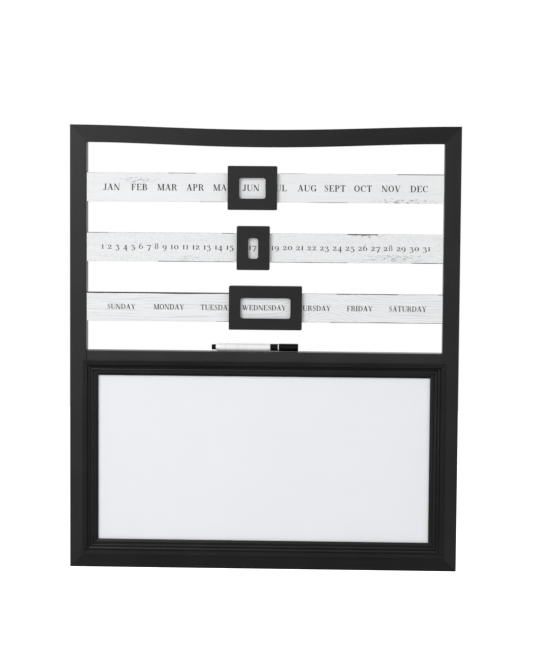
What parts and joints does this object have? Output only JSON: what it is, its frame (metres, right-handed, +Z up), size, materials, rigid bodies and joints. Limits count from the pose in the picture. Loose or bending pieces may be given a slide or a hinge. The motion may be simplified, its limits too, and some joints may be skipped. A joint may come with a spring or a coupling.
{
  "type": "memo board",
  "caption": "Wall memo board in a black wooden frame: calendar slats with sliding windows above a dry-erase panel, and a capped marker on the ledge.",
  "frame": {"origin": "middle of the middle rail's back face, on the wall plane", "axes": "+Y into the wall, the front faces -Y, +X to the right seen from the front, +Z up"},
  "size_m": [0.61, 0.0304, 0.6974],
  "materials": {
    "frame_paint": "satin black paint over wood, soft along the grain",
    "slider_paint": "satin black paint",
    "slat_print": "white-washed wood-grain print with black painted edges",
    "slider_back_board": "black hardboard",
    "dry_erase_surface": "smooth cool white melamine on hardboard",
    "dowel_beech": "plain beech",
    "zinc_steel": "bright zinc plate",
    "marker_black": "moulded black plastic",
    "marker_white": "moulded white plastic",
    "marker_felt": "black pressed felt",
    "marker_fibre": "inked fibre in a film sleeve"
  },
  "bodies": {
    "board": {"left_stile": "frame_paint", "right_stile": "frame_paint", "top_rail": "frame_paint", "middle_rail": "frame_paint", "bottom_rail": "frame_paint", "moulding_left": "frame_paint", "moulding_right": "frame_paint", "moulding_top": "frame_paint", "moulding_bottom": "frame_paint", "dry_erase_panel": "dry_erase_surface", "month_slat": "slat_print", "date_slat": "slat_print", "weekday_slat": "slat_print", "dowel_left_front": "dowel_beech", "dowel_left_back": "dowel_beech", "dowel_right_front": "dowel_beech", "dowel_right_back": "dowel_beech", "v_nail_top_left": "zinc_steel", "v_nail_top_right": "zinc_steel", "v_nail_bottom_left": "zinc_steel", "v_nail_bottom_right": "zinc_steel", "hanger_left": "zinc_steel", "hanger_left_screw_top": "zinc_steel", "hanger_left_screw_bottom": "zinc_steel", "hanger_right": "zinc_steel", "hanger_right_screw_top": "zinc_steel", "hanger_right_screw_bottom": "zinc_steel", "flex_point_left_1": "zinc_steel", "flex_point_left_2": "zinc_steel", "flex_point_right_1": "zinc_steel", "flex_point_right_2": "zinc_steel", "flex_point_top_1": "zinc_steel", "flex_point_top_2": "zinc_steel", "flex_point_bottom_1": "zinc_steel", "flex_point_bottom_2": "zinc_steel", "marker_end_plug": "marker_black", "marker_barrel": "marker_white", "marker_ink_reservoir": "marker_fibre", "marker_collar": "marker_black", "marker_nib": "marker_felt"},
    "month_slider": {"month_slider_front": "slider_paint", "month_slider_back": "slider_back_board", "month_slider_screw_top_1": "zinc_steel", "month_slider_screw_top_2": "zinc_steel", "month_slider_screw_bottom_1": "zinc_steel", "month_slider_screw_bottom_2": "zinc_steel"},
    "date_slider": {"date_slider_front": "slider_paint", "date_slider_back": "slider_back_board", "date_slider_screw_top_1": "zinc_steel", "date_slider_screw_bottom_1": "zinc_steel"},
    "weekday_slider": {"weekday_slider_front": "slider_paint", "weekday_slider_back": "slider_back_board", "weekday_slider_screw_top_1": "zinc_steel", "weekday_slider_screw_top_2": "zinc_steel", "weekday_slider_screw_bottom_1": "zinc_steel", "weekday_slider_screw_bottom_2": "zinc_steel"},
    "cap": {"marker_cap": "marker_black"}
  },
  "joints": [
    {"name": "month_slide", "type": "slide", "parent": "board", "child": "month_slider", "axis": [1, 0, 0], "range_m": [-0.2205, 0.2595]},
    {"name": "date_slide", "type": "slide", "parent": "board", "child": "date_slider", "axis": [1, 0, 0], "range_m": [-0.2351, 0.2705]},
    {"name": "weekday_slide", "type": "slide", "parent": "board", "child": "weekday_slider", "axis": [1, 0, 0], "range_m": [-0.2234, 0.2194]},
    {"name": "cap_pull", "type": "slide", "parent": "board", "child": "cap", "axis": [1, 0, 0], "range_m": [0, 0.03]}
  ]
}
